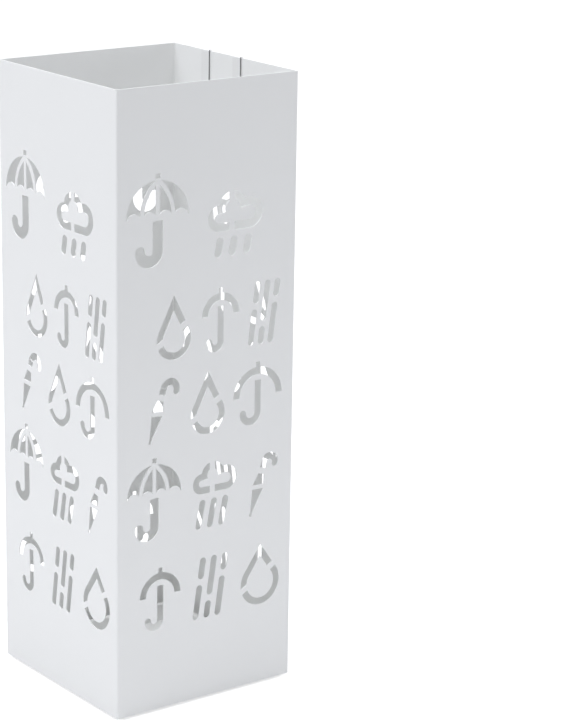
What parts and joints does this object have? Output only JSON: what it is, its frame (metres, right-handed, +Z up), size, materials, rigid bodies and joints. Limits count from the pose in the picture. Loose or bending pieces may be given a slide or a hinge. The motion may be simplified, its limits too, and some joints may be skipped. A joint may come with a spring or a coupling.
{
  "type": "umbrella stand",
  "caption": "Square white sheet-steel umbrella stand with an open top, weather-pictogram cut-outs in every wall, a lift-out drip tray and strip hooks hung over the rim.",
  "frame": {"origin": "on the floor, under the middle of the square stand", "axes": "+Z up along the stand; +X towards the wall that carries the hooks; -Y towards the front wall"},
  "size_m": [0.161, 0.16, 0.4808],
  "materials": {
    "shell_coat": "fine satin powder coat, white",
    "base_coat": "satin powder coat, white",
    "tray_coat": "satin powder coat, white",
    "hook_coat": "satin powder coat, white, thin and grey on the sheared edges",
    "pad_rubber": "matt black rubber"
  },
  "bodies": {
    "stand": {"front_shell": "shell_coat", "rear_shell": "shell_coat", "base_pan": "base_coat", "pad_front_left": "pad_rubber", "pad_front_right": "pad_rubber", "pad_rear_right": "pad_rubber", "pad_rear_left": "pad_rubber"},
    "tray": {"drip_tray": "tray_coat"},
    "front_hook": {"hook_front": "hook_coat"},
    "rear_hook": {"hook_rear": "hook_coat"}
  },
  "joints": [
    {"name": "tray_lift", "type": "slide", "parent": "stand", "child": "tray", "axis": [0, 0, 1], "range_m": [0, 0.5]},
    {"name": "front_hook_lift", "type": "slide", "parent": "stand", "child": "front_hook", "axis": [0, 0, 1], "range_m": [0, 0.06]},
    {"name": "rear_hook_lift", "type": "slide", "parent": "stand", "child": "rear_hook", "axis": [0, 0, 1], "range_m": [0, 0.06]}
  ]
}
